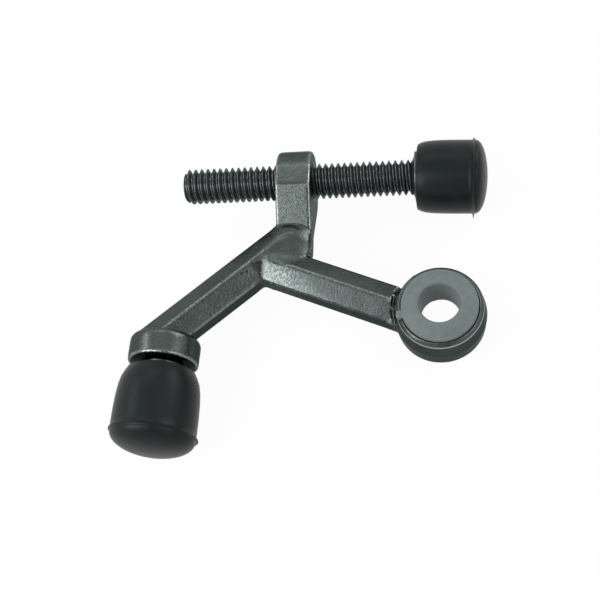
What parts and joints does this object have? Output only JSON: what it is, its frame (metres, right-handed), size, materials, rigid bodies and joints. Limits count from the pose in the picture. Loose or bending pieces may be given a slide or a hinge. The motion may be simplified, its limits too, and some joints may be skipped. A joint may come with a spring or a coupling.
{
  "type": "hinge pin door stop",
  "caption": "Cast door stop that hangs on a hinge pin by its ring, with a fixed rubber pad on one arm and a screw-adjusted rubber tip in a threaded eye.",
  "frame": {"origin": "on the hinge pin's axis, in the casting's parting plane", "axes": "+Z along the hinge pin, towards the face where the bush stands proud; +X along the adjusting screw, towards its rubber tip"},
  "size_m": [0.08, 0.0714, 0.019],
  "materials": {
    "casting": "tumbled grey plating",
    "bush": "moulded nylon",
    "screw": "rolled thread, grey plating",
    "rubber": "moulded, with a thin fin at the mould line"
  },
  "bodies": {
    "casting": {"cast_body": "casting", "pin_bush": "bush", "arm_pad": "rubber"},
    "tip": {"screw_tip": "rubber"},
    "screw": {"adjusting_screw": "screw"}
  },
  "joints": [
    {"name": "screw_advance", "type": "slide", "parent": "casting", "child": "tip", "axis": [1, 0, 0], "range_m": [-0.02116, 0.02116]},
    {"name": "screw_turn", "type": "hinge", "parent": "tip", "child": "screw", "pos_m": [0, 0.033, 0], "axis": [1, 0, 0], "range_deg": [-5400, 5400]}
  ],
  "couplings": [
    {"joint": "screw_turn", "follows": "screw_advance", "rad_per_m": 4452.6}
  ]
}
